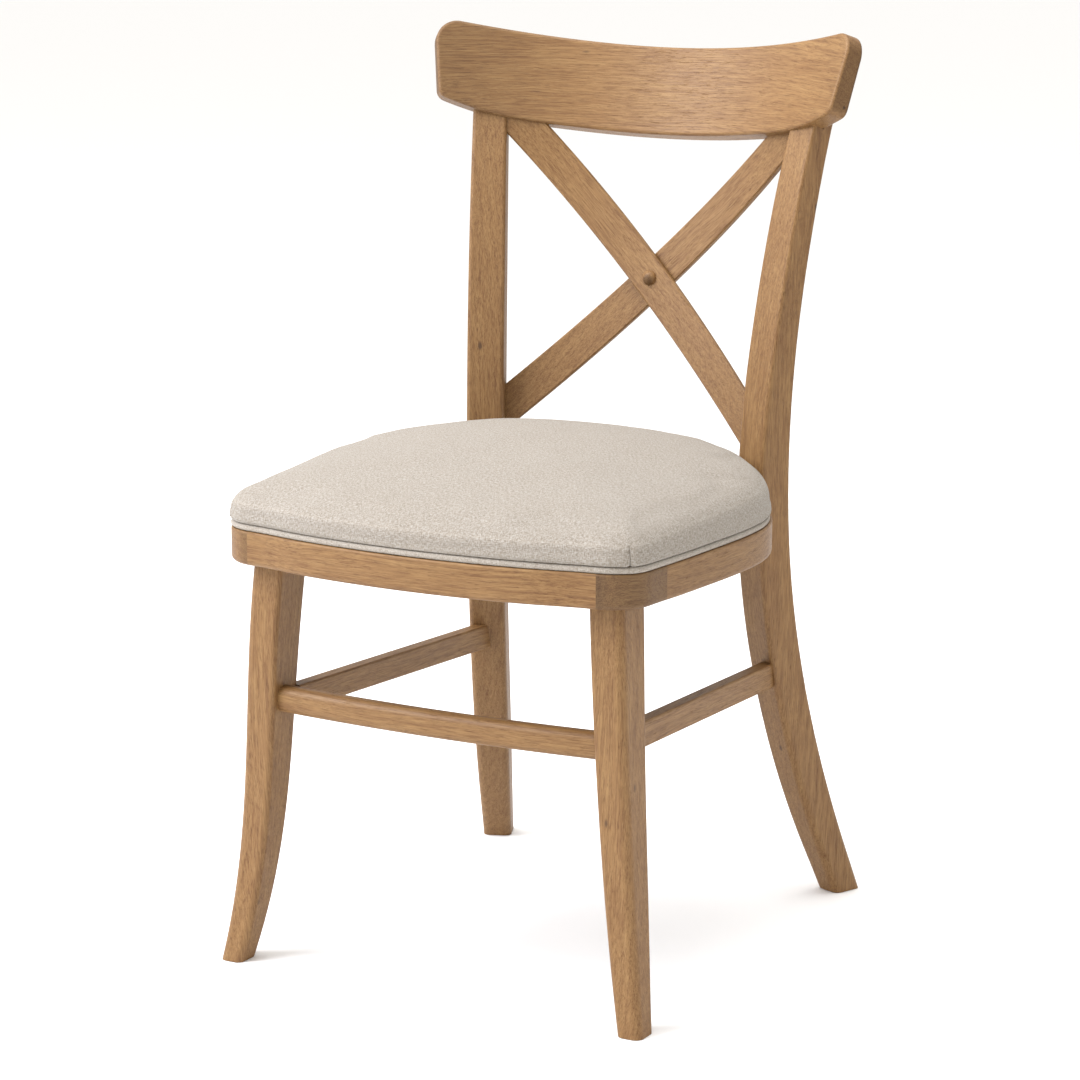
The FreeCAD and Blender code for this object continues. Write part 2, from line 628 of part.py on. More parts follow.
# ---------------------------------------------------------------- export
nodes = {
    "rear_post_left": rear_post_l,
    "rear_post_right": rear_post_r,
    "front_leg_left": front_leg_l,
    "front_leg_right": front_leg_r,
    "crest_rail": crest,
    "cross_slat_front": slat_front,
    "cross_slat_back": slat_back,
    "cross_button": button,
    "cross_screw": screw,
    "seat_front_rail": front_rail,
    "seat_side_rail_left": mirror_x(side_rail_r),
    "seat_side_rail_right": side_rail_r,
    "seat_rear_rail": rear_rail,
    "seat_corner_front_left": mirror_x(corner_f),
    "seat_corner_front_right": corner_f,
    "seat_corner_rear_left": mirror_x(corner_r),
    "seat_corner_rear_right": corner_r,
    "front_stretcher": front_stretcher,
    "side_stretcher_left": side_stretcher_l,
    "side_stretcher_right": side_stretcher_r,
    "seat_ring_dowels": ring_dowels,
    "post_bolts": post_bolts,
    "seat_screws": Part.makeCompound(seat_screws),
    "seat_board": board,
    "seat_foam": foam,
    "seat_cover": cover,
    "seat_welt": welt,
    "seat_dust_cloth": dust,
}

box = FreeCAD.BoundBox()
for name, shape in nodes.items():
    export(name, shape)
    b = shape.optimalBoundingBox(False)
    box.add(b)
    print("%-26s solids %d valid %s vol %.0f  x %.1f %.1f y %.1f %.1f z %.1f %.1f" % (
        name, len(shape.Solids), shape.isValid(), shape.Volume, b.XMin, b.XMax, b.YMin, b.YMax, b.ZMin, b.ZMax))
print("box", box, "mid y", (box.YMin + box.YMax) / 2)
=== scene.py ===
import math

import bmesh
import bpy
import numpy as np
from mathutils import Matrix, Vector
from mathutils.bvhtree import BVHTree


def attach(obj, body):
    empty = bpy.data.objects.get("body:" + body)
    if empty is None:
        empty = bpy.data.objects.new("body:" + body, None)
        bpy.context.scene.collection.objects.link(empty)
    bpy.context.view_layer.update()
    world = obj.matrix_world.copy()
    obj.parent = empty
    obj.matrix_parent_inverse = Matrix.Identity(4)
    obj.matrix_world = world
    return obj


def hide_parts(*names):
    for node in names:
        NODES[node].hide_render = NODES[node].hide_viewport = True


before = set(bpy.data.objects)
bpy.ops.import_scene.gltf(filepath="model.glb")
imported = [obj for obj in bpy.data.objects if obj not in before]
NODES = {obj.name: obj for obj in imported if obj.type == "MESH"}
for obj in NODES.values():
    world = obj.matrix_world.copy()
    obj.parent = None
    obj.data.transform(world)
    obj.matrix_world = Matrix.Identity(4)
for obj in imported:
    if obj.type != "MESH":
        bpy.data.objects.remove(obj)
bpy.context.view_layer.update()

SCENE = bpy.context.scene
COL = SCENE.collection
Y_SHIFT = -0.029087

# ------------------------------------------------------------------ camera
CAM_A, CAM_P = math.radians(29.16), math.radians(12.16)
cam_data = bpy.data.cameras.new("camera")
cam_data.sensor_fit = "HORIZONTAL"
cam_data.sensor_width = 36.0
cam_data.lens = 3332.2 / 1080.0 * 36.0
cam_data.clip_start, cam_data.clip_end = 0.1, 200.0
camera = bpy.data.objects.new("camera", cam_data)
COL.objects.link(camera)
ca, sa, cp, sp = math.cos(CAM_A), math.sin(CAM_A), math.cos(CAM_P), math.sin(CAM_P)
fwd = Vector((-sa * cp, ca * cp, -sp))
right = Vector((ca, sa, 0.0))
up = right.cross(fwd)
camera.matrix_world = Matrix((
    (right.x, up.x, -fwd.x, 1.5505),
    (right.y, up.y, -fwd.y, -2.7751 + Y_SHIFT),
    (right.z, up.z, -fwd.z, 1.0858),
    (0, 0, 0, 1)))
SCENE.camera = camera
SCENE.view_settings.view_transform = "Standard"


# ------------------------------------------------------------------ node helpers
def srgb(r, g, b):
    def f(c):
        c /= 255.0
        return c / 12.92 if c <= 0.04045 else ((c + 0.055) / 1.055) ** 2.4
    return (f(r), f(g), f(b), 1.0)


class Tree:
    """Short calls for building a node tree."""

    def __init__(self, tree):
        self.t = tree
        self.n = tree.nodes
        self.l = tree.links

    def put(self, target, value):
        if value is None:
            return
        if isinstance(value, bpy.types.NodeSocket):
            self.l.new(value, target)
        elif isinstance(value, (tuple, list)) and target.type == "RGBA" and len(value) == 3:
            target.default_value = (*value, 1.0)
        else:
            target.default_value = value

    def node(self, kind, props=None, **inputs):
        n = self.n.new(kind)
        for k, v in (props or {}).items():
            setattr(n, k, v)
        for k, v in inputs.items():
            key = k.replace("_", " ")
            self.put(n.inputs[key], v)
        return n

    def math(self, op, a, b=None, c=None, clamp=False):
        n = self.n.new("ShaderNodeMath")
        n.operation, n.use_clamp = op, clamp
        for i, v in enumerate((a, b, c)):
            self.put(n.inputs[i], v)
        return n.outputs[0]

    def vmath(self, op, a, b=None, scale=None):
        n = self.n.new("ShaderNodeVectorMath")
        n.operation = op
        self.put(n.inputs[0], a)
        self.put(n.inputs[1], b)
        if scale is not None:
            self.put(n.inputs["Scale"], scale)
        return n.outputs["Value"] if op in ("DOT_PRODUCT", "LENGTH", "DISTANCE") else n.outputs[0]

    def ramp(self, v, a, b, lo=0.0, hi=1.0, smooth=True):
        n = self.n.new("ShaderNodeMapRange")
        n.interpolation_type = "SMOOTHSTEP" if smooth else "LINEAR"
        n.clamp = True
        self.put(n.inputs["Value"], v)
        for k, x in (("From Min", a), ("From Max", b), ("To Min", lo), ("To Max", hi)):
            self.put(n.inputs[k], x)
        return n.outputs["Result"]

    def noise(self, vec, scale=1.0, detail=2.0, rough=0.5, dim="3D", out="Fac", distortion=0.0):
        n = self.n.new("ShaderNodeTexNoise")
        n.noise_dimensions = dim
        self.put(n.inputs["Vector"], vec)
        n.inputs["Scale"].default_value = scale
        n.inputs["Detail"].default_value = detail
        n.inputs["Roughness"].default_value = rough
        n.inputs["Distortion"].default_value = distortion
        return n.outputs[out]

    def mix(self, fac, a, b, mode="MIX"):
        n = self.n.new("ShaderNodeMix")
        n.data_type, n.blend_type = "RGBA", mode
        n.clamp_factor = True
        self.put(n.inputs[0], fac)
        self.put(n.inputs[6], a)
        self.put(n.inputs[7], b)
        return n.outputs[2]

    def xyz(self, v):
        n = self.n.new("ShaderNodeSeparateXYZ")
        self.put(n.inputs[0], v)
        return n.outputs[0], n.outputs[1], n.outputs[2]

    def vec(self, x, y, z):
        n = self.n.new("ShaderNodeCombineXYZ")
        for i, v in enumerate((x, y, z)):
            self.put(n.inputs[i], v)
        return n.outputs[0]

    def scaled(self, v, s):
        return self.vmath("MULTIPLY", v, s)


def new_material(name):
    m = bpy.data.materials.new(name)
    m.use_nodes = True
    m.node_tree.nodes.clear()
    t = Tree(m.node_tree)
    out = t.n.new("ShaderNodeOutputMaterial")
    bsdf = t.n.new("ShaderNodeBsdfPrincipled")
    t.l.new(bsdf.outputs[0], out.inputs[0])
    return m, t, bsdf


# ------------------------------------------------------------------ oak
# The group works in millimetres: X runs along the grain, Y across the rings, Z along them.
def make_oak_group():
    g = bpy.data.node_groups.new("oak_figure", "ShaderNodeTree")
    g.interface.new_socket("Vector", in_out="INPUT", socket_type="NodeSocketVector")
    g.interface.new_socket("Tone", in_out="INPUT", socket_type="NodeSocketFloat")
    g.interface.new_socket("Pith", in_out="INPUT", socket_type="NodeSocketFloat")
    for n, s in (("Color", "NodeSocketColor"), ("Roughness", "NodeSocketFloat"), ("Height", "NodeSocketFloat")):
        g.interface.new_socket(n, in_out="OUTPUT", socket_type=s)
    t = Tree(g)
    gi, go = t.n.new("NodeGroupInput"), t.n.new("NodeGroupOutput")
    P, tone, pith = gi.outputs["Vector"], gi.outputs["Tone"], gi.outputs["Pith"]

    # the grain wanders a little along its length
    w = t.noise(t.scaled(P, (0.0045, 0.016, 0.016)), 1.0, 2.0, 0.5, out="Color")
    w = t.vmath("SUBTRACT", w, (0.5, 0.5, 0.5))
    Q = t.vmath("ADD", P, t.scaled(w, (0.0, 15.0, 15.0)))
    w2 = t.noise(t.scaled(P, (0.02, 0.09, 0.09)), 1.0, 1.0, 0.5, out="Color")
    w2 = t.vmath("SUBTRACT", w2, (0.5, 0.5, 0.5))
    Q = t.vmath("ADD", Q, t.scaled(w2, (0.0, 2.2, 2.2)))
    _, v, u = t.xyz(Q)

    # growth rings round a pith line beside the board
    d = t.math("SQRT", t.math("ADD", t.math("POWER", t.math("ADD", v, pith), 2.0), t.math("MULTIPLY", u, u)))
    slow = t.noise(t.vec(t.math("MULTIPLY", d, 0.045), 0.0, 0.0), 1.0, 1.0)
    phase = t.math("ADD", t.math("DIVIDE", d, 5.2), t.math("MULTIPLY", slow, 3.6))
    saw = t.math("FRACT", phase)
    early = t.math("MULTIPLY", t.ramp(saw, 0.0, 0.07), t.ramp(saw, 0.55, 0.16))
    year = t.noise(t.vec(t.math("FLOOR", phase), 3.7, 0.0), 1.7, 0.0)

    # open pores: short dark streaks, thicker in the early wood
    fine = t.noise(t.scaled(Q, (0.085, 1.75, 1.75)), 1.0, 2.0, 0.6)
    cut = t.math("SUBTRACT", 0.60, t.math("MULTIPLY", early, 0.045))
    pores = t.ramp(t.math("SUBTRACT", fine, cut), 0.0, 0.07)
    long_ = t.noise(t.scaled(Q, (0.032, 0.80, 0.80)), 1.0, 2.0, 0.6)
    streak = t.ramp(long_, 0.50, 0.74)
    light = t.ramp(long_, 0.46, 0.26)
    fibre = t.noise(t.scaled(Q, (0.05, 3.6, 3.6)), 1.0, 2.0, 0.6)
    band = t.noise(t.scaled(Q, (0.011, 0.30, 0.30)), 1.0, 3.0, 0.62)
    hair = t.noise(t.scaled(Q, (0.034, 1.25, 1.25)), 1.0, 3.0, 0.68)
    broad = t.noise(t.scaled(P, (0.006, 0.040, 0.040)), 1.0, 2.0, 0.5)
    patch = t.noise(t.scaled(P, (0.017, 0.07, 0.07)), 1.0, 2.0, 0.6)

    # rare pin knots
    vor = t.n.new("ShaderNodeTexVoronoi")
    vor.feature, vor.distance = "F1", "EUCLIDEAN"
    t.put(vor.inputs["Vector"], t.scaled(Q, (0.0115, 0.028, 0.028)))
    vor.inputs["Scale"].default_value = 1.0
    vor.inputs["Randomness"].default_value = 1.0
    knot = t.math("MULTIPLY", t.ramp(vor.outputs["Distance"], 0.075, 0.025), 0.75)

    base = t.mix(broad, srgb(196, 153, 108), srgb(219, 180, 135))
    base = t.mix(t.math("MULTIPLY", t.ramp(patch, 0.42, 0.68), 0.30), base, srgb(176, 131, 86))
    base = t.mix(t.math("MULTIPLY", early, t.math("ADD", 0.04, t.math("MULTIPLY", year, 0.34))), base, srgb(160, 114, 72))
    base = t.mix(t.math("MULTIPLY", t.ramp(band, 0.50, 0.66), 0.42), base, srgb(160, 115, 73))
    base = t.mix(t.math("MULTIPLY", t.ramp(band, 0.48, 0.34), 0.34), base, srgb(232, 197, 153))
    base = t.mix(t.math("MULTIPLY", t.ramp(hair, 0.51, 0.66), 0.60), base, srgb(138, 95, 58))
    base = t.mix(t.math("MULTIPLY", t.ramp(hair, 0.49, 0.35), 0.42), base, srgb(238, 205, 163))
    base = t.mix(t.math("MULTIPLY", streak, 0.34), base, srgb(146, 101, 62))
    base = t.mix(t.math("MULTIPLY", light, 0.40), base, srgb(229, 194, 150))
    base = t.mix(t.math("MULTIPLY", pores, 0.46), base, srgb(108, 70, 40))
    base = t.mix(t.math("MULTIPLY", t.ramp(fibre, 0.35, 0.75), 0.16), base, srgb(150, 108, 70))
    base = t.mix(knot, base, srgb(84, 54, 32))
    hsv = t.n.new("ShaderNodeHueSaturation")
    hsv.inputs["Hue"].default_value = 0.5
    hsv.inputs["Saturation"].default_value = 1.0
    t.put(hsv.inputs["Value"], tone)
    # oiled finish: one warm, darker tint over all of it
    t.put(hsv.inputs["Color"], t.mix(1.0, base, (0.350, 0.297, 0.196), "MULTIPLY"))

    rough = t.math("ADD", 0.44, t.math("MULTIPLY", broad, 0.10))
    rough = t.math("ADD", rough, t.math("MULTIPLY", pores, 0.22))
    rough = t.math("ADD", rough, t.math("MULTIPLY", fibre, 0.06))
    h = t.math("SUBTRACT", 1.0, t.math("MULTIPLY", pores, 0.75))
    h = t.math("SUBTRACT", h, t.math("MULTIPLY", streak, 0.18))
    h = t.math("ADD", h, t.math("MULTIPLY", fibre, 0.20))
    h = t.math("SUBTRACT", h, t.math("MULTIPLY", early, 0.10))
    t.l.new(hsv.outputs[0], go.inputs["Color"])
    t.l.new(rough, go.inputs["Roughness"])
    t.l.new(h, go.inputs["Height"])
    return g


OAK = make_oak_group()


def oak(name, grain, radial, seed, tone=1.0, pith=90.0, origin=(0, 0, 0), bend=(0.0, 0.0), turn=None, painted_shade=None):
    """Oak for one piece. grain: direction of the fibres; radial: direction across the rings.
    bend: a*u + b*u^2 in millimetres is taken off the radial coordinate, for a bent piece."""
    m, t, bsdf = new_material("oak_" + name)
    gx = Vector(grain).normalized()
    ry = Vector(radial)
    ry = (ry - gx * ry.dot(gx)).normalized()
    tz = gx.cross(ry)
    R = Matrix((gx, ry, tz))
    tc = t.n.new("ShaderNodeTexCoord")
    v = t.vmath("SUBTRACT", tc.outputs["Object"], tuple(origin))
    mp = t.n.new("ShaderNodeMapping")
    mp.vector_type = "POINT"
    mp.inputs["Rotation"].default_value = R.to_euler("XYZ")
    mp.inputs["Scale"].default_value = (1, 1, 1)
    t.put(mp.inputs["Vector"], v)
    v = t.vmath("SCALE", mp.outputs[0], scale=1000.0)
    if bend[0] or bend[1]:
        x, y, z = t.xyz(v)
        c = t.math("MULTIPLY", x, t.math("ADD", bend[0], t.math("MULTIPLY", x, bend[1])))
        if turn is not None:
            # the bend lies partly along the rings
            y2 = t.math("SUBTRACT", y, t.math("MULTIPLY", c, turn[0]))
            z2 = t.math("SUBTRACT", z, t.math("MULTIPLY", c, turn[1]))
            v = t.vec(x, y2, z2)
        else:
            v = t.vec(x, t.math("SUBTRACT", y, c), z)
    rs = np.random.RandomState(seed)
    off = rs.uniform(-1, 1, 3)
    v = t.vmath("ADD", v, (float(off[0] * 900), float(off[1] * 14), float(off[2] * 14)))
    grp = t.n.new("ShaderNodeGroup")
    grp.node_tree = OAK
    t.put(grp.inputs["Vector"], v)
    grp.inputs["Tone"].default_value = tone
    grp.inputs["Pith"].default_value = pith
    if painted_shade is not None:
        # painted shade: the colour darkens towards one end along the grain, where the board turns from the light: from,
        # to (mm along the grain), tone at each end
        gx_, _, _ = t.xyz(mp.outputs[0])
        t.put(grp.inputs["Tone"], t.ramp(t.math("MULTIPLY", gx_, 1000.0), painted_shade[0], painted_shade[1], painted_shade[2] * tone, painted_shade[3] * tone))
    # end grain drinks more of the finish and reads darker; the darkening is made strong enough to also serve as painted
    # shade on end faces
    facing = t.math("ABSOLUTE", t.vmath("DOT_PRODUCT", tc.outputs["Normal"], tuple(gx)))
    end = t.ramp(facing, 0.50, 0.93)
    col = t.mix(t.math("MULTIPLY", end, 0.92), grp.outputs["Color"],
                t.mix(1.0, grp.outputs["Color"], (0.50, 0.47, 0.42), "MULTIPLY"))
    t.l.new(col, bsdf.inputs["Base Color"])
    t.l.new(t.math("ADD", grp.outputs["Roughness"], t.math("MULTIPLY", end, 0.10)), bsdf.inputs["Roughness"])
    bump = t.n.new("ShaderNodeBump")
    bump.inputs["Strength"].default_value = 0.35
    bump.inputs["Distance"].default_value = 0.00035
    t.l.new(grp.outputs["Height"], bump.inputs["Height"])
    t.l.new(bump.outputs[0], bsdf.inputs["Normal"])
    bsdf.inputs["Specular IOR Level"].default_value = 0.38
    return m


def give(node, material):
    o = NODES[node]
    o.data.materials.clear()
    o.data.materials.append(material)


Z = (0, 0, 1)
X = (1, 0, 0)
# (node, grain, radial, seed, tone, pith, extras)
# the crest is painted darker towards its left end: painted shade on the end that turns from the light
give("crest_rail", oak("crest_rail", X, (0, 0.50, 0.87), 11, 1.0, 150.0, origin=(0, 0.24, 0.82), bend=(0.0, -0.00185), turn=(0.50, -0.87), painted_shade=(-215, -60, 0.78, 1.0)))
give("rear_post_right", oak("rear_post_right", (0.03, 0.02, 1), (0.92, -0.40, 0), 23, 1.0, 60.0, origin=(0.17, 0.16, 0.4)))
# tone 0.92 darkens this whole post as painted shade for its shaded middle
give("rear_post_left", oak("rear_post_left", (-0.03, 0.02, 1), (0.55, 0.84, 0), 31, 0.92, 120.0, origin=(-0.17, 0.16, 0.4)))
give("front_leg_right", oak("front_leg_right", (0.05, -0.04, 1), (0.9, 0.45, 0), 42, 1.0, 110.0, origin=(0.19, -0.21, 0.2)))
give("front_leg_left", oak("front_leg_left", (-0.05, -0.04, 1), (0.75, -0.66, 0), 57, 1.0, 110.0, origin=(-0.19, -0.21, 0.2)))
give("cross_slat_front", oak("cross_slat_front", (0.707, 0.0, -0.707), (0, 0.45, 0.89), 61, 0.97, 160.0, origin=(0, 0.205, 0.631)))
give("cross_slat_back", oak("cross_slat_back", (0.707, 0.0, 0.707), (0, 0.5, -0.86), 77, 0.97, 160.0, origin=(0, 0.212, 0.631)))
give("cross_button", oak("cross_button", (0, 1, 0.2), (1, 0, 0), 83, 0.98, 60.0, origin=(0, 0.205, 0.631)))
give("seat_front_rail", oak("seat_front_rail", X, (0, 0.35, 0.94), 92, 1.0, 200.0, origin=(0, -0.24, 0.415), bend=(0.0, 0.00035), turn=(0.35, -0.94)))
give("seat_side_rail_right", oak("seat_side_rail_right", (0.06, 1, 0.0), (0.5, 0, 0.86), 101, 0.93, 110.0, origin=(0.2, -0.08, 0.415)))
give("seat_side_rail_left", oak("seat_side_rail_left", (-0.06, 1, 0.0), (-0.5, 0, 0.86), 113, 1.0, 110.0, origin=(-0.2, -0.08, 0.415)))
# tone 0.64 darkens this corner block as painted shade, on top of its end grain darkening
give("seat_corner_front_right", oak("seat_corner_front_right", (0.54, 0.84, 0.0), (0.3, -0.2, -0.93), 127, 0.64, 26.0, origin=(0.19, -0.23, 0.415)))
give("seat_corner_front_left", oak("seat_corner_front_left", (-0.54, 0.84, 0.0), (0.1, 0.2, -0.97), 131, 0.88, 30.0, origin=(-0.19, -0.23, 0.415)))
give("seat_corner_rear_right", oak("seat_corner_rear_right", (-0.62, 0.78, 0.0), (0.2, 0.3, 0.9), 139, 0.98, 70.0, origin=(0.17, 0.08, 0.415)))
give("seat_corner_rear_left", oak("seat_corner_rear_left", (0.62, 0.78, 0.0), (0.2, 0.3, 0.9), 149, 0.98, 70.0, origin=(-0.17, 0.08, 0.415)))
give("seat_rear_rail", oak("seat_rear_rail", X, (0, 0.35, 0.94), 151, 0.98, 160.0, origin=(0, 0.13, 0.415)))
give("front_stretcher", oak("front_stretcher", X, (0, 0.6, 0.8), 163, 1.0, 90.0, origin=(0, -0.22, 0.263), bend=(0.0, 0.00031), turn=(0.6, -0.8)))
give("side_stretcher_right", oak("side_stretcher_right", (-0.02, 1, -0.036), (0.4, 0, 0.91), 173, 1.0, 120.0, origin=(0.17, 0, 0.25)))
give("side_stretcher_left", oak("side_stretcher_left", (0.02, 1, -0.036), (-0.4, 0, 0.91), 181, 1.0, 120.0, origin=(-0.17, 0, 0.25)))

# ------------------------------------------------------------------ cushion shape (millimetres)
# half outline of the pad, front centre to rear centre
PAD = [(0, -250.5), (70, -247.2), (130, -239.3), (175, -229.9), (196.5, -225.9), (212.5, -216.5),
       (221.8, -203), (225.3, -180), (228.5, -150), (232.3, -100), (235.1, -50), (235.5, -10),
       (232, 28), (221.5, 60), (205, 88), (184, 114), (158, 141), (133, 156.5), (100, 167.5),
       (50, 174.5), (0, 176)]
CENTRE = np.array([0.0, -4.4])
Z_SIDE = 448.0          # height at which the side is fullest
ROLL = 34.0             # width of the rounded shoulder
ROLL_N = 3.0
SKIN = 1.4
DART_X = 214.2


def closed_spline(pts):
    """Natural closed cubic through pts, as a function of arc length share."""
    P = np.array(pts, float)
    n = len(P)
    h = np.linalg.norm(np.roll(P, -1, 0) - P, axis=1) ** 0.75
    A = np.zeros((n, n))
    B = np.zeros((n, 2))
    for i in range(n):
        hm, hp = h[i - 1], h[i]
        A[i, i - 1], A[i, i], A[i, (i + 1) % n] = hp, 2 * (hm + hp), hm
        B[i] = 3 * (hp * (P[i] - P[i - 1]) / hm + hm * (P[(i + 1) % n] - P[i]) / hp)
    M = np.linalg.solve(A, B)
    fine = []
    for i in range(n):
        j = (i + 1) % n
        t = np.linspace(0, 1, 60, endpoint=False)[:, None]
        p0, p1, m0, m1 = P[i], P[j], M[i] * h[i], M[j] * h[i]
        fine.append((2 * t ** 3 - 3 * t ** 2 + 1) * p0 + (t ** 3 - 2 * t ** 2 + t) * m0
                    + (-2 * t ** 3 + 3 * t ** 2) * p1 + (t ** 3 - t ** 2) * m1)
    F = np.vstack(fine)
    L = np.concatenate([[0], np.cumsum(np.linalg.norm(np.diff(np.vstack([F, F[:1]]), axis=0), axis=1))])
    F = np.vstack([F, F[:1]])
    return F, L


full = PAD + [(-x, y) for x, y in reversed(PAD[1:-1])]
OUT_F, OUT_L = closed_spline(full)
PERIM = OUT_L[-1]


def on_outline(length):
    length = np.mod(length, PERIM)
    x = np.interp(length, OUT_L, OUT_F[:, 0])
    y = np.interp(length, OUT_L, OUT_F[:, 1])
    return np.stack([x, y], -1)


def outline_normal(length):
    t = on_outline(length + 1.5) - on_outline(length - 1.5)
    t /= np.linalg.norm(t, axis=-1, keepdims=True)
    return np.stack([t[..., 1], -t[..., 0]], -1)


def length_at(x, front=True):
    """Arc length where the outline passes this x near the front."""
    k = [i for i in range(len(OUT_F) - 1) if (OUT_F[i, 0] - x) * (OUT_F[i + 1, 0] - x) <= 0 and (OUT_F[i, 1] < -190) == front]
    return OUT_L[k[0]]


DARTS = [length_at(DART_X), length_at(-DART_X)]


def wave(seed, n, lo, hi):
    """Sum of n plane waves with wavelengths between lo and hi, about -1 to 1."""
    rs = np.random.RandomState(seed)
    parts = []
    for _ in range(n):
        a = rs.uniform(0, 2 * math.pi)
        k = 2 * math.pi / rs.uniform(lo, hi)
        parts.append((k * math.cos(a), k * math.sin(a), rs.uniform(0, 2 * math.pi)))

    def f(x, y):
        return sum(np.sin(kx * x + ky * y + ph) for kx, ky, ph in parts) / math.sqrt(n) / 1.4
    return f


def shoulder_height(y):
    return 462.2 + 16.6 * (y + 250.0) / 426.0


def crown_rise(s, y):
    return (33.5 + 3.0 * ((y + 250.0) / 426.0 - 0.5)) * (1 - np.clip(s, 0, 1) ** 2.4)


def crown_height(s, y):
    return shoulder_height(y) + crown_rise(s, y)


def pad_grid(cols, rows):
    """Outer skin of the pad. cols: arc lengths; rows: list of (inset, height or None for the top)."""
    O = on_outline(cols)
    N = outline_normal(cols)
    reach = np.einsum("ij,ij->i", O - CENTRE, N)
    # further in, the contours lose their corners
    sway = np.arange(-150.0, 151.0, 10.0)
    weight = np.exp(-(sway / 62.0) ** 2)
    soft = sum(w * on_outline(cols + d) for w, d in zip(weight, sway)) / weight.sum()
    V = np.zeros((len(rows), len(cols), 3))
    for r, (p, z) in enumerate(rows):
        s = 1 - p / reach
        if z is not None:
            xy = O - N * p
            zz = np.full(len(cols), z)
        else:
            s = np.clip(1 - p / 246.0 * 246.0 / reach, 0.0, 1.0) if p < 60 else np.clip(
                (1 - 60.0 / reach) * (246.0 - p) / (246.0 - 60.0), 0.0, 1.0)
            k = np.clip((p - 10.0) / 85.0, 0, 1)
            k = 0.85 * k * k * (3 - 2 * k)
            xy = CENTRE + (O * (1 - k) + soft * k - CENTRE) * s[:, None]
            inside = (1 - s) * reach
            q = np.clip(inside / ROLL, 0, 1)
            zz = Z_SIDE + (shoulder_height(xy[:, 1]) - Z_SIDE) * (1 - (1 - q) ** ROLL_N) ** (1 / ROLL_N)
            zz = zz + crown_rise(s, xy[:, 1])
        V[r, :, :2] = xy
        V[r, :, 2] = zz
    return V


SIDE_ROWS = [(6.3, 438.85), (4.2, 438.8), (2.7, 438.85), (1.6, 439.1), (1.0, 439.6), (0.72, 440.3),
             (0.5, 441.5), (0.3, 443.0), (0.12, 445.0), (0.03, 446.8)]
TOP_P = [0.0, 0.012, 0.05, 0.14, 0.32, 0.6, 1.0, 1.55, 2.3, 3.2, 4.3, 5.6, 7.1, 8.8, 10.7, 12.8, 15.2, 18.0,
         21.0, 24.5, 28.5, 33, 38, 44, 51, 59, 68, 78, 89, 101, 114, 128, 142, 156, 170, 184, 197, 209, 220, 230, 238, 243]


def cushion_columns():
    n = 560
    c = np.linspace(0, PERIM, n, endpoint=False)
    extra = []
    for d in DARTS:
        c = c[np.abs(c - d) > 3.4]
        extra.append(d + np.array([-3.0, -2.3, -1.7, -1.2, -0.8, -0.5, -0.25, 0, 0.25, 0.5, 0.8, 1.2, 1.7, 2.3, 3.0]))
    return np.sort(np.concatenate([c] + extra))


def mesh_from(name, verts, faces, mats=(), smooth=True):
    me = bpy.data.meshes.new(name)
    me.from_pydata([tuple(v) for v in verts], [], [tuple(f) for f in faces])
    me.update()
    if smooth:
        me.polygons.foreach_set("use_smooth", [True] * len(me.polygons))
    for m in mats:
        me.materials.append(m)
    o = bpy.data.objects.new(name, me)
    COL.objects.link(o)
    return o


def closed_grid(V, pole_first=None, pole_last=None):
    """Vertices and faces of a grid whose columns close on themselves, with an optional vertex at each end."""
    R, C, _ = V.shape
    verts = V.reshape(-1, 3).tolist()
    faces = []
    idx = lambda r, c: r * C + (c % C)
    for r in range(R - 1):
        for c in range(C):
            faces.append((idx(r, c), idx(r, c + 1), idx(r + 1, c + 1), idx(r + 1, c)))
    if pole_first is not None:
        k = len(verts)
        verts.append(list(pole_first))
        faces += [(k, idx(0, c + 1), idx(0, c)) for c in range(C)]
    if pole_last is not None:
        k = len(verts)
        verts.append(list(pole_last))
        faces += [(k, idx(R - 1, c), idx(R - 1, c + 1)) for c in range(C)]
    return verts, faces


def to_world(V):
    W = np.array(V, float) * 0.001
    W[..., 1] += Y_SHIFT
    return W


def grid_normals(V):
    du = np.roll(V, -1, 1) - np.roll(V, 1, 1)
    dv = np.zeros_like(V)
    dv[1:-1] = V[2:] - V[:-2]
    dv[0], dv[-1] = V[1] - V[0], V[-1] - V[-2]
    n = np.cross(du, dv)
    n /= np.maximum(np.linalg.norm(n, axis=-1, keepdims=True), 1e-9)
    return n


def relax_on(co, edges, val, k):
    """k rounds of averaging a vertex value with its neighbours."""
    a, b = edges[:, 0], edges[:, 1]
    deg = np.bincount(np.concatenate([a, b]), minlength=len(co)).astype(float)
    for _ in range(k):
        s = np.zeros_like(val)
        np.add.at(s, a, val[b])
        np.add.at(s, b, val[a])
        val = 0.5 * val + 0.5 * s / np.maximum(deg, 1)[:, None]
    return val


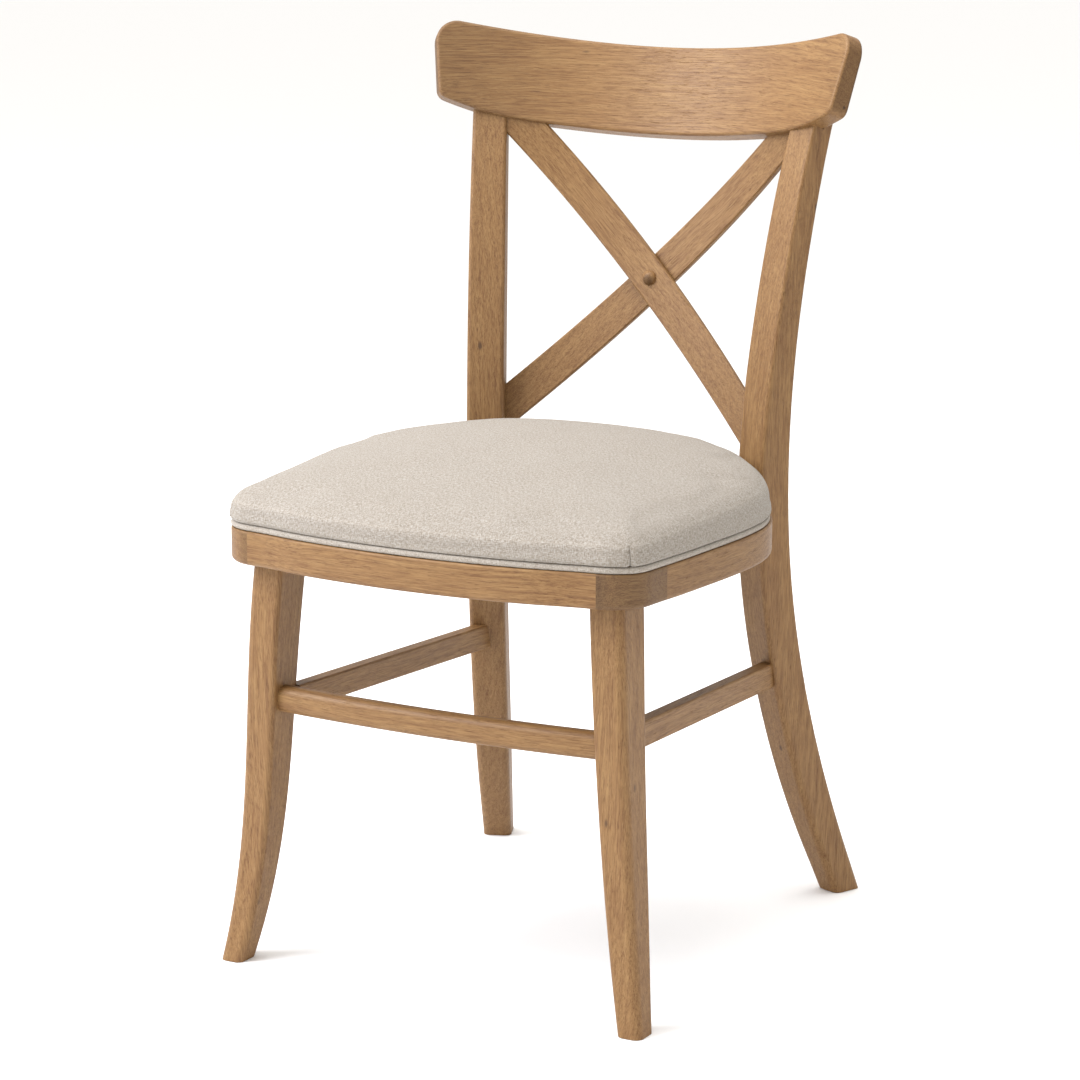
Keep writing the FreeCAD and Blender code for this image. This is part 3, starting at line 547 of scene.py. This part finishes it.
def stuffed():
    """Cloth over stuffing: returns a function giving how far the skin moves out (mm) at a point of the pad."""
    cols = np.linspace(0, PERIM, 150, endpoint=False)
    rows = [(9.0, 438.6), (4.0, 438.6), (1.2, 439.2), (0.5, 441.5), (0.1, 445.0)] + [
        (p, None) for p in (0.0, 0.3, 1.0, 2.3, 4.3, 7.1, 10.7, 15.2, 21.0, 28.5, 38, 51, 68, 89, 114, 142, 170, 200, 225)]
    V = pad_grid(cols, rows)
    verts, faces = closed_grid(to_world(V), to_world([0, -4.4, 438.6]), to_world([0, -4.4, crown_height(0, -4.4)]))
    o = mesh_from("stuffing_trial", verts, faces)
    bm = bmesh.new()
    bm.from_mesh(o.data)
    bmesh.ops.recalc_face_normals(bm, faces=bm.faces)
    bm.to_mesh(o.data)
    bm.free()
    rm = o.modifiers.new("remesh", "REMESH")
    rm.mode, rm.voxel_size = "VOXEL", 0.0055
    dg = bpy.context.evaluated_depsgraph_get()
    me = bpy.data.meshes.new_from_object(o.evaluated_get(dg))
    o.modifiers.clear()
    o.data = me
    n = len(me.vertices)
    before = np.zeros(n * 3)
    me.vertices.foreach_get("co", before)
    before = before.reshape(-1, 3)
    grp = o.vertex_groups.new(name="held")
    grp.add([i for i in range(n) if before[i, 2] < 0.4405], 1.0, "REPLACE")
    cm = o.modifiers.new("cloth", "CLOTH")
    st = cm.settings
    st.quality = 5
    st.mass = 0.35
    st.tension_stiffness = st.compression_stiffness = 18.0
    st.shear_stiffness = 8.0
    st.bending_stiffness = 0.4
    st.use_pressure = True
    st.uniform_pressure_force = 4.0
    st.effector_weights.gravity = 0.0
    st.vertex_group_mass = "held"
    cm.collision_settings.use_collision = False
    cm.point_cache.frame_start, cm.point_cache.frame_end = 1, 20
    for f in range(1, 21):
        SCENE.frame_set(f)
    dg = bpy.context.evaluated_depsgraph_get()
    ev = o.evaluated_get(dg).to_mesh()
    after = np.zeros(n * 3)
    ev.vertices.foreach_get("co", after)
    after = after.reshape(-1, 3)
    no = np.zeros(n * 3)
    me.vertices.foreach_get("normal", no)
    no = no.reshape(-1, 3)
    ed = np.zeros(len(me.edges) * 2, np.int64)
    me.edges.foreach_get("vertices", ed)
    ed = ed.reshape(-1, 2)
    o.evaluated_get(dg).to_mesh_clear()
    out = np.einsum("ij,ij->i", after - before, no)[:, None] * 1000.0
    out = np.clip(out, -5.0, 5.0)
    small = relax_on(before, ed, out, 4)
    large = relax_on(before, ed, out, 130)
    folds = (small - large)[:, 0]
    print("cloth moved mm: mean %.2f max %.2f, folds sd %.3f max %.3f" % (out.mean(), out.max(), folds.std(), np.abs(folds).max()))
    tree = BVHTree.FromPolygons([tuple(v) for v in before], [tuple(p.vertices) for p in me.polygons])
    polys = [tuple(p.vertices) for p in me.polygons]
    SCENE.frame_set(1)
    bpy.data.objects.remove(o)

    def at(p):
        hit = tree.find_nearest(Vector(p))
        if hit[2] is None:
            return 0.0
        vs = polys[hit[2]]
        d = np.array([1.0 / ((hit[0] - Vector(before[i])).length + 1e-4) for i in vs])
        return float((folds[list(vs)] * d).sum() / d.sum())
    return at


def build_cushion():
    cols = cushion_columns()
    rows = SIDE_ROWS + [(p, None) for p in TOP_P]
    V = pad_grid(cols, rows)
    N = grid_normals(V)
    R, C, _ = V.shape
    out = np.zeros((R, C))
    at = stuffed()
    W = to_world(V)
    for r in range(R):
        if rows[r][1] is not None and rows[r][1] < 441:
            continue
        step = 1 if r < R - 8 else 4
        k = np.arange(0, C, step)
        vals = np.array([at(W[r, c]) for c in k])
        out[r] = np.interp(np.arange(C), np.append(k, C), np.append(vals, vals[0]))
    for _ in range(2):
        out = 0.5 * out + 0.25 * (np.roll(out, 1, 1) + np.roll(out, -1, 1))
    out = np.clip(out * 1.0, -1.1, 1.1)
    x, y = V[..., 0], V[..., 1]
    inset = np.array([p for p, z in rows])[:, None]
    top = np.array([z is None for p, z in rows])[:, None]
    # the fill is never quite even
    edge = np.clip(inset / 20.0, 0, 1) * top
    out += wave(5, 7, 80, 190)(x, y) * 0.30 * edge
    out += wave(6, 9, 28, 60)(x, y) * 0.16 * (0.35 + 0.65 * edge) * top
    # small gathers where the cover is sewn to the welt, dying out upwards
    up = np.array([0.0 if z is not None and z < 439.5 else 1.0 for p, z in rows])[:, None]
    h = np.maximum(V[..., 2] - 439.5, 0)
    rs = np.random.RandomState(12)
    g = np.zeros(C)
    for _ in range(150):
        c0, w, a = rs.uniform(0, PERIM), rs.uniform(2.5, 6.0), rs.uniform(-0.30, 0.22)
        d = np.abs((cols - c0 + PERIM / 2) % PERIM - PERIM / 2)
        g += a * np.exp(-(d / w) ** 2)
    out += g[None, :] * np.exp(-(h / 6.5) ** 1.5) * up
    # short sewn dart at each front corner, with the cloth drawn in beside it
    for k, d0 in enumerate(DARTS):
        d = (cols - d0 + PERIM / 2) % PERIM - PERIM / 2
        z = V[..., 2]
        run = np.clip((458.5 - z) / 3.5, 0, 1) * np.clip((z - 437) / 2.0, 0, 1)
        out -= 1.15 * np.exp(-(d[None, :] / 0.55) ** 2) * run
        out -= 0.45 * np.exp(-(d[None, :] / 2.6) ** 2) * run
        out += 0.35 * np.exp(-((np.abs(d[None, :]) - 5.0) / 2.6) ** 2) * run
        # faint pull lines fanning from the end of the dart
        for side, slope in ((1, 0.75), (-1, 0.62), (1, 0.25), (-1, 0.2)):
            hh = np.clip(z - 456.0, 0, None)
            lane = np.abs(d[None, :] - side * slope * hh * 2.2)
            out -= 0.16 * np.exp(-(lane / 2.2) ** 2) * np.exp(-hh / 9.0) * (hh > 0)
    V = V + N * out[..., None]
    N = grid_normals(V)
    # outer skin, hem, inner skin
    inner = V - N * SKIN
    inner[0] = V[0] + np.array([0, 0, SKIN])
    inner[1] = V[1] + np.array([0, 0, SKIN])
    Vall = np.concatenate([V[::-1], inner], axis=0)
    top_z = V[-1, :, 2].mean() + 0.05
    verts, faces = closed_grid(to_world(Vall), to_world([0, -4.4, top_z]), to_world([0, -4.4, top_z - SKIN]))
    cover = mesh_from("seat_cushion_cover", verts, faces)
    # foam inside, standing on the board
    keep = [r for r in range(R) if rows[r][1] is None or rows[r][1] > 440.0]
    body = V[keep] - N[keep] * (SKIN + 0.5)
    O, NN = on_outline(cols), outline_normal(cols)

    def ring(p, z):
        xy = O - NN * p
        return np.concatenate([xy, np.full((C, 1), z)], 1)[None]
    floor_rows = [np.concatenate([CENTRE + (O - NN * 6.4 - CENTRE) * q, np.full((C, 1), 444.3)], 1)[None] for q in (0.02, 0.5, 0.9)]
    foam = np.concatenate(floor_rows + [ring(6.4, 444.3), ring(6.4, 440.6), ring(3.2, 440.6)] + [body], axis=0)
    verts, faces = closed_grid(to_world(foam), to_world([0, -4.4, 444.3]), to_world([0, -4.4, top_z - SKIN - 0.5]))
    core = mesh_from("seat_cushion_foam", verts, faces)
    return cover, core


def fix_normals(o):
    bm = bmesh.new()
    bm.from_mesh(o.data)
    bmesh.ops.recalc_face_normals(bm, faces=bm.faces)
    bad = [e for e in bm.edges if not e.is_manifold]
    print(o.name, "faces", len(bm.faces), "open edges", len(bad))
    bm.to_mesh(o.data)
    bm.free()
    o.data.polygons.foreach_set("use_smooth", [True] * len(o.data.polygons))


def build_welt():
    """Piping: a cord in a bias cut strip, with the two edges of the strip sewn together at the back."""
    n = 1500
    L = np.linspace(0, PERIM, n, endpoint=False)
    O, N = on_outline(L), outline_normal(L)
    rs = np.random.RandomState(4)
    ph = rs.uniform(0, 2 * math.pi, 12)
    kk = np.array([3, 5, 8, 13, 21, 34, 55, 72, 90, 110, 140, 170])
    am = np.array([.10, .08, .07, .06, .05, .05, .035, .03, .03, .025, .02, .02])
    j1 = sum(a * np.sin(2 * math.pi * k * L / PERIM + p) for a, k, p in zip(am, kk, ph))
    j2 = sum(a * np.sin(2 * math.pi * k * L / PERIM + 2.1 * p + 1) for a, k, p in zip(am, kk, ph))
    m = 28
    V = np.zeros((n, m, 3))
    r0, cz, inset = 3.12, 435.28, 3.65
    for i in range(m):
        t = 2 * math.pi * i / m
        c, s = math.cos(t), math.sin(t)          # c outwards, s upwards
        r = r0 + 0.35 * j1
        # the strip is drawn tight over the cord and pinched towards the seam above and behind
        pinch = 0.30 * math.exp(-((t - math.radians(118)) / 0.34) ** 2)
        # fine crosswise rucks of the bias strip, strongest on the outside
        ruck = 0.045 * np.sin(2 * math.pi * (L + 2.2 * s) / 2.9 + 1.5 * np.sin(L / 17.0)) * (0.5 + 0.5 * c)
        rad = r - pinch + ruck
        off = c * rad
        up = s * rad
        xy = O + N * (off - inset + 0.12 * j2)[:, None]
        V[:, i, :2] = xy
        V[:, i, 2] = np.maximum(cz + up + 0.10 * j2, 432.08)
    # butt join of the strip at the rear
    mid = L[np.argmin(np.abs(L - PERIM / 2))]
    d = L - mid
    for i in range(m):
        w = np.exp(-((d - 3.0 * math.sin(2 * math.pi * i / m)) / 0.8) ** 2) * 0.28
        c = np.stack([*(O - N * inset).T, np.full(n, cz)], 1)
        V[:, i] -= (V[:, i] - c) / r0 * w[:, None]
    verts = to_world(V).reshape(-1, 3).tolist()
    faces = []
    for a in range(n):
        b = (a + 1) % n
        for i in range(m):
            k = (i + 1) % m
            faces.append((a * m + i, b * m + i, b * m + k, a * m + k))
    return mesh_from("seat_cushion_welt", verts, faces)


cover, core = build_cushion()
welt = build_welt()
for piece in (cover, core, welt):
    fix_normals(piece)
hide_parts("seat_cover")
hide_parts("seat_foam")
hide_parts("seat_welt")
for piece, name, fill in ((cover, "linen", 0.9), (core, "foam", 0.9), (welt, "linen", 0.9)):
    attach(piece, "root")


# ------------------------------------------------------------------ linen
def make_linen(name, pitch=1.05, round_cord=False, tone=1.0):
    m, t, bsdf = new_material(name)
    tc = t.n.new("ShaderNodeTexCoord")
    P = t.vmath("SCALE", tc.outputs["Object"], scale=1000.0)
    x, y, z = t.xyz(P)
    nx, ny, nz = t.xyz(tc.outputs["Normal"])
    # round the edge the threads follow the outline; on the top they run straight
    ang = t.math("ARCTAN2", y, x)
    u_side = t.math("MULTIPLY", ang, 240.0)
    v_side = z
    flat = t.ramp(t.math("ABSOLUTE", nz), 0.50, 0.72)
    def weave(u, v):
        # threads wander a little
        w = t.noise(t.vec(t.math("MULTIPLY", u, 0.05), t.math("MULTIPLY", v, 0.05), 0.0), 1.0, 2.0, 0.5, out="Color")
        wx, wy, _ = t.xyz(t.vmath("SUBTRACT", w, (0.5, 0.5, 0.5)))
        u2 = t.math("ADD", u, t.math("MULTIPLY", wx, 3.4))
        v2 = t.math("ADD", v, t.math("MULTIPLY", wy, 3.4))
        k = math.pi / pitch
        su = t.math("SINE", t.math("MULTIPLY", u2, k))
        sv = t.math("SINE", t.math("MULTIPLY", v2, k))
        over = t.math("ADD", 0.5, t.math("MULTIPLY", t.math("MULTIPLY", su, sv), 1.4), clamp=True)
        cu = t.math("SINE", t.math("MULTIPLY", u2, 2 * k))
        cv = t.math("SINE", t.math("MULTIPLY", v2, 2 * k))
        au = t.math("MULTIPLY", su, su)
        av = t.math("MULTIPLY", sv, sv)
        thread = t.math("ADD", t.math("MULTIPLY", over, au), t.math("MULTIPLY", t.math("SUBTRACT", 1.0, over), av))
        # thick and thin places along single threads, both ways
        s1 = t.noise(t.vec(t.math("MULTIPLY", u2, 1.25 / pitch), t.math("MULTIPLY", v2, 0.34 / pitch), 2.0), 1.0, 1.0, 0.6)
        s2 = t.noise(t.vec(t.math("MULTIPLY", u2, 0.34 / pitch), t.math("MULTIPLY", v2, 1.25 / pitch), 7.0), 1.0, 1.0, 0.6)
        slub = t.math("ADD", t.math("MULTIPLY", t.math("SUBTRACT", s1, 0.5), 1.0), t.math("SUBTRACT", s2, 0.5))
        return thread, slub
    t1, s1 = weave(x, y)
    t2, s2 = weave(u_side, v_side)
    def blend(a, b):
        n = t.n.new("ShaderNodeMix")
        n.data_type = "FLOAT"
        t.put(n.inputs[0], flat)
        t.put(n.inputs[2], b)
        t.put(n.inputs[3], a)
        return n.outputs[0]
    thread, slub = blend(t1, t2), blend(s1, s2)
    pebble = t.noise(t.scaled(P, (0.95, 0.95, 0.95)), 1.0, 2.0, 0.55)
    cloud = t.noise(t.scaled(P, (0.016, 0.016, 0.016)), 1.0, 3.0, 0.55)
    mid = t.noise(t.scaled(P, (0.09, 0.09, 0.09)), 1.0, 2.0, 0.5)
    fuzz = t.noise(t.scaled(P, (3.2, 3.2, 3.2)), 1.0, 1.0, 0.5)
    base = t.mix(cloud, srgb(200, 188, 173), srgb(214, 204, 191))
    base = t.mix(t.math("MULTIPLY", t.ramp(mid, 0.40, 0.66), 0.30), base, srgb(196, 183, 166))
    base = t.mix(t.math("MULTIPLY", t.ramp(slub, -0.02, 0.22), 0.60), base, srgb(236, 229, 219))
    base = t.mix(t.math("MULTIPLY", t.ramp(slub, 0.0, -0.22), 0.68), base, srgb(156, 141, 122))
    base = t.mix(t.math("MULTIPLY", t.ramp(pebble, 0.50, 0.34), 0.48), base, srgb(160, 145, 126))
    base = t.mix(t.math("MULTIPLY", t.ramp(thread, 0.45, 0.02), 0.50), base, srgb(138, 122, 103))
    base = t.mix(t.math("MULTIPLY", fuzz, 0.10), base, srgb(236, 229, 218))
    hsv = t.n.new("ShaderNodeHueSaturation")
    hsv.inputs["Value"].default_value = tone
    t.put(hsv.inputs["Color"], t.mix(1.0, base, (0.545, 0.552, 0.560), "MULTIPLY"))
    t.l.new(hsv.outputs[0], bsdf.inputs["Base Color"])
    h = t.math("MULTIPLY", thread, 0.55)
    h = t.math("ADD", h, t.math("MULTIPLY", slub, 1.1))
    h = t.math("ADD", h, t.math("MULTIPLY", pebble, 0.9))
    h = t.math("ADD", h, t.math("MULTIPLY", fuzz, 0.12))
    rough = t.math("ADD", 0.82, t.math("MULTIPLY", slub, 0.12), clamp=True)
    t.l.new(rough, bsdf.inputs["Roughness"])
    bump = t.n.new("ShaderNodeBump")
    bump.inputs["Strength"].default_value = 0.7
    bump.inputs["Distance"].default_value = 0.0009
    t.put(bump.inputs["Height"], h)
    t.l.new(bump.outputs[0], bsdf.inputs["Normal"])
    bsdf.inputs["Specular IOR Level"].default_value = 0.15
    bsdf.inputs["Sheen Weight"].default_value = 0.10
    bsdf.inputs["Sheen Roughness"].default_value = 0.5
    return m


LINEN = make_linen("linen_cover")
# the strip is drawn lighter than the cover (value 1.22): partly its own lighter cord cloth, partly painted light
# lifting its shaded lower half
LINEN_STRIP_PAINTED_LIGHT = make_linen("linen_strip_painted_light", pitch=0.9, tone=1.22)
cover.data.materials.append(LINEN)
welt.data.materials.append(LINEN_STRIP_PAINTED_LIGHT)


# ------------------------------------------------------------------ hidden and small parts
def plain_mat(name, colours, scale, rough, bump_mm, metal=0.0, stretch=(1, 1, 1), spec=0.5):
    m, t, bsdf = new_material(name)
    tc = t.n.new("ShaderNodeTexCoord")
    P = t.vmath("SCALE", tc.outputs["Object"], scale=1000.0)
    n1 = t.noise(t.scaled(P, tuple(scale * s for s in stretch)), 1.0, 3.0, 0.6)
    n2 = t.noise(t.scaled(P, tuple(scale * 4.3 * s for s in stretch)), 1.0, 2.0, 0.6)
    col = t.mix(t.ramp(n1, 0.3, 0.7), colours[0], colours[1])
    col = t.mix(t.math("MULTIPLY", t.ramp(n2, 0.5, 0.75), 0.4), col, colours[2])
    t.l.new(col, bsdf.inputs["Base Color"])
    t.l.new(t.math("ADD", rough, t.math("MULTIPLY", n2, 0.15)), bsdf.inputs["Roughness"])
    b = t.n.new("ShaderNodeBump")
    b.inputs["Strength"].default_value = 0.5
    b.inputs["Distance"].default_value = bump_mm / 1000.0
    t.put(b.inputs["Height"], n2)
    t.l.new(b.outputs[0], bsdf.inputs["Normal"])
    bsdf.inputs["Metallic"].default_value = metal
    bsdf.inputs["Specular IOR Level"].default_value = spec
    return m


FOAM = plain_mat("foam_cells", (srgb(222, 208, 160), srgb(232, 220, 178), srgb(190, 172, 122)), 0.35, 0.85, 0.5)
core.data.materials.append(FOAM)
BEECH = plain_mat("beech_dowel", (srgb(205, 168, 126), srgb(216, 182, 142), srgb(170, 128, 88)), 0.9, 0.55, 0.15, stretch=(1, 0.25, 1))
STEEL = plain_mat("zinc_steel", (srgb(170, 172, 174), srgb(188, 190, 192), srgb(140, 140, 140)), 1.2, 0.30, 0.03, metal=1.0)
give("seat_ring_dowels", BEECH)
for n in ("post_bolts", "seat_screws", "cross_screw"):
    give(n, STEEL)


def plywood():
    m, t, bsdf = new_material("poplar_plywood")
    tc = t.n.new("ShaderNodeTexCoord")
    P = t.vmath("SCALE", tc.outputs["Object"], scale=1000.0)
    x, y, z = t.xyz(P)
    ply = t.math("FRACT", t.math("DIVIDE", t.math("SUBTRACT", z, 432.0), 3.4))
    line = t.ramp(t.math("ABSOLUTE", t.math("SUBTRACT", ply, 0.5)), 0.44, 0.49)
    odd = t.math("FRACT", t.math("MULTIPLY", t.math("FLOOR", t.math("DIVIDE", t.math("SUBTRACT", z, 432.0), 3.4)), 0.5))
    along = t.noise(t.scaled(P, (0.02, 0.5, 0.5)), 1.0, 3.0, 0.6)
    across = t.noise(t.scaled(P, (0.5, 0.02, 0.5)), 1.0, 3.0, 0.6)
    n = t.n.new("ShaderNodeMix")
    n.data_type = "FLOAT"
    t.put(n.inputs[0], t.math("MULTIPLY", odd, 2.0))
    t.put(n.inputs[2], along)
    t.put(n.inputs[3], across)
    col = t.mix(t.ramp(n.outputs[0], 0.35, 0.65), srgb(186, 150, 108), srgb(214, 182, 140))
    col = t.mix(t.math("MULTIPLY", line, 0.7), col, srgb(96, 66, 42))
    t.l.new(col, bsdf.inputs["Base Color"])
    bsdf.inputs["Roughness"].default_value = 0.7
    b = t.n.new("ShaderNodeBump")
    b.inputs["Strength"].default_value = 0.4
    b.inputs["Distance"].default_value = 0.0003
    t.put(b.inputs["Height"], n.outputs[0])
    t.l.new(b.outputs[0], bsdf.inputs["Normal"])
    return m


give("seat_board", plywood())


def dust_cloth():
    m, t, bsdf = new_material("dust_cloth_black")
    tc = t.n.new("ShaderNodeTexCoord")
    P = t.vmath("SCALE", tc.outputs["Object"], scale=1000.0)
    fib = t.noise(t.scaled(P, (0.7, 0.7, 0.7)), 1.0, 4.0, 0.7, distortion=1.2)
    x, y, z = t.xyz(P)
    dots = t.math("MULTIPLY", t.math("SINE", t.math("MULTIPLY", x, 2.1)), t.math("SINE", t.math("MULTIPLY", y, 2.1)))
    pressed = t.ramp(dots, 0.45, 0.75)
    col = t.mix(t.ramp(fib, 0.35, 0.7), srgb(34, 34, 35), srgb(62, 61, 60))
    col = t.mix(t.math("MULTIPLY", pressed, 0.5), col, srgb(22, 22, 23))
    t.l.new(col, bsdf.inputs["Base Color"])
    bsdf.inputs["Roughness"].default_value = 0.9
    b = t.n.new("ShaderNodeBump")
    b.inputs["Strength"].default_value = 0.6
    b.inputs["Distance"].default_value = 0.0004
    t.put(b.inputs["Height"], t.math("SUBTRACT", fib, t.math("MULTIPLY", pressed, 0.6)))
    t.l.new(b.outputs[0], bsdf.inputs["Normal"])
    return m


give("seat_dust_cloth", dust_cloth())

# ------------------------------------------------------------------ floor and light
floor_mat, ft, fb = new_material("studio_floor")
fb.inputs["Base Color"].default_value = (0.90, 0.90, 0.90, 1)
fb.inputs["Roughness"].default_value = 0.9
fb.inputs["Specular IOR Level"].default_value = 0.1
me = bpy.data.meshes.new("studio_floor")
bm = bmesh.new()
bmesh.ops.create_grid(bm, x_segments=4, y_segments=4, size=60.0)
bm.to_mesh(me)
bm.free()
floor = bpy.data.objects.new("studio_floor", me)
floor.location = (0, 0, -0.0004)
me.materials.append(floor_mat)
COL.objects.link(floor)

world = bpy.data.worlds.new("studio")
SCENE.world = world
world.use_nodes = True
bg = world.node_tree.nodes["Background"]
bg.inputs[0].default_value = (1.0, 0.982, 0.955, 1)
bg.inputs[1].default_value = 1.10


def area(name, loc, target, size, power, color=(1, 1, 1)):
    d = bpy.data.lights.new(name, "AREA")
    d.shape, d.size, d.energy, d.color = "SQUARE", size, power, color
    o = bpy.data.objects.new(name, d)
    o.location = loc
    o.rotation_mode = "QUATERNION"
    o.rotation_quaternion = (Vector(target) - Vector(loc)).to_track_quat("-Z", "Y")
    COL.objects.link(o)
    return o


area("key", (-2.4, -2.2, 3.1), (0, 0, 0.5), 2.6, 232.0, (0.965, 0.985, 1.06))
area("top", (-0.2, -0.1, 3.4), (0, 0, 0.4), 2.2, 75.0)
